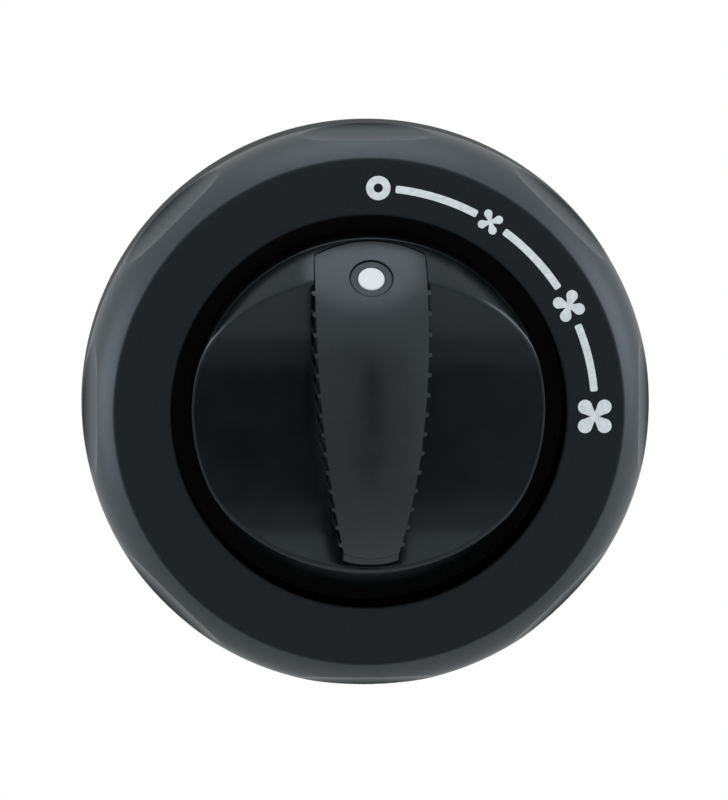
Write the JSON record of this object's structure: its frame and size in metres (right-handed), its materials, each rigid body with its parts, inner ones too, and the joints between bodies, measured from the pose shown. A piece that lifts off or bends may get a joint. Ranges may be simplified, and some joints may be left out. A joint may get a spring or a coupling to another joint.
{
  "type": "fan speed control switch",
  "caption": "Round black panel switch with a scalloped bezel and a domed knob with a ribbed grip blade, turned clockwise to choose a fan speed.",
  "frame": {"origin": "centre of the plane on which the bezel rests against its panel, on the turning axis", "axes": "front of the switch faces -Y, +Y runs back along the turning axis, +Z is 12 o'clock on the dial"},
  "size_m": [0.064, 0.0472, 0.064],
  "materials": {
    "bezel": "fine grained black moulding with a satin rim",
    "housing": "black moulding",
    "screw_steel": "zinc plated",
    "base": "brown thermoset",
    "terminal_brass": "plain brass",
    "holder": "cream moulding",
    "bulb": "clear glass",
    "clear_plastic": "clear moulding",
    "spring_steel": "spring steel",
    "rotor": "natural acetal",
    "knob": "smooth satin black",
    "pointer": "white front end",
    "grip": "smooth black, slightly shiny"
  },
  "bodies": {
    "base": {"bezel": "bezel", "housing": "housing", "housing_screws": "screw_steel", "terminal_base": "base", "base_screws": "screw_steel", "terminal_supply": "terminal_brass", "terminal_low": "terminal_brass", "terminal_medium": "terminal_brass", "terminal_high": "terminal_brass", "terminal_lamp": "terminal_brass", "lamp_holder": "holder", "lamp": "bulb", "light_ring": "clear_plastic", "detent_spring": "spring_steel"},
    "knob": {"rotor": "rotor", "thrust_washer": "spring_steel", "contact_bridge": "terminal_brass", "bridge_spring": "spring_steel", "knob_body": "knob", "knob_clip": "spring_steel", "pointer_light_guide": "pointer", "knob_grip": "grip"}
  },
  "joints": [
    {"name": "knob_turn", "type": "hinge", "parent": "base", "child": "knob", "pos_m": [0, 0, 0], "axis": [0, 1, 0], "range_deg": [0, 90], "deforming": ["detent_spring"]}
  ]
}
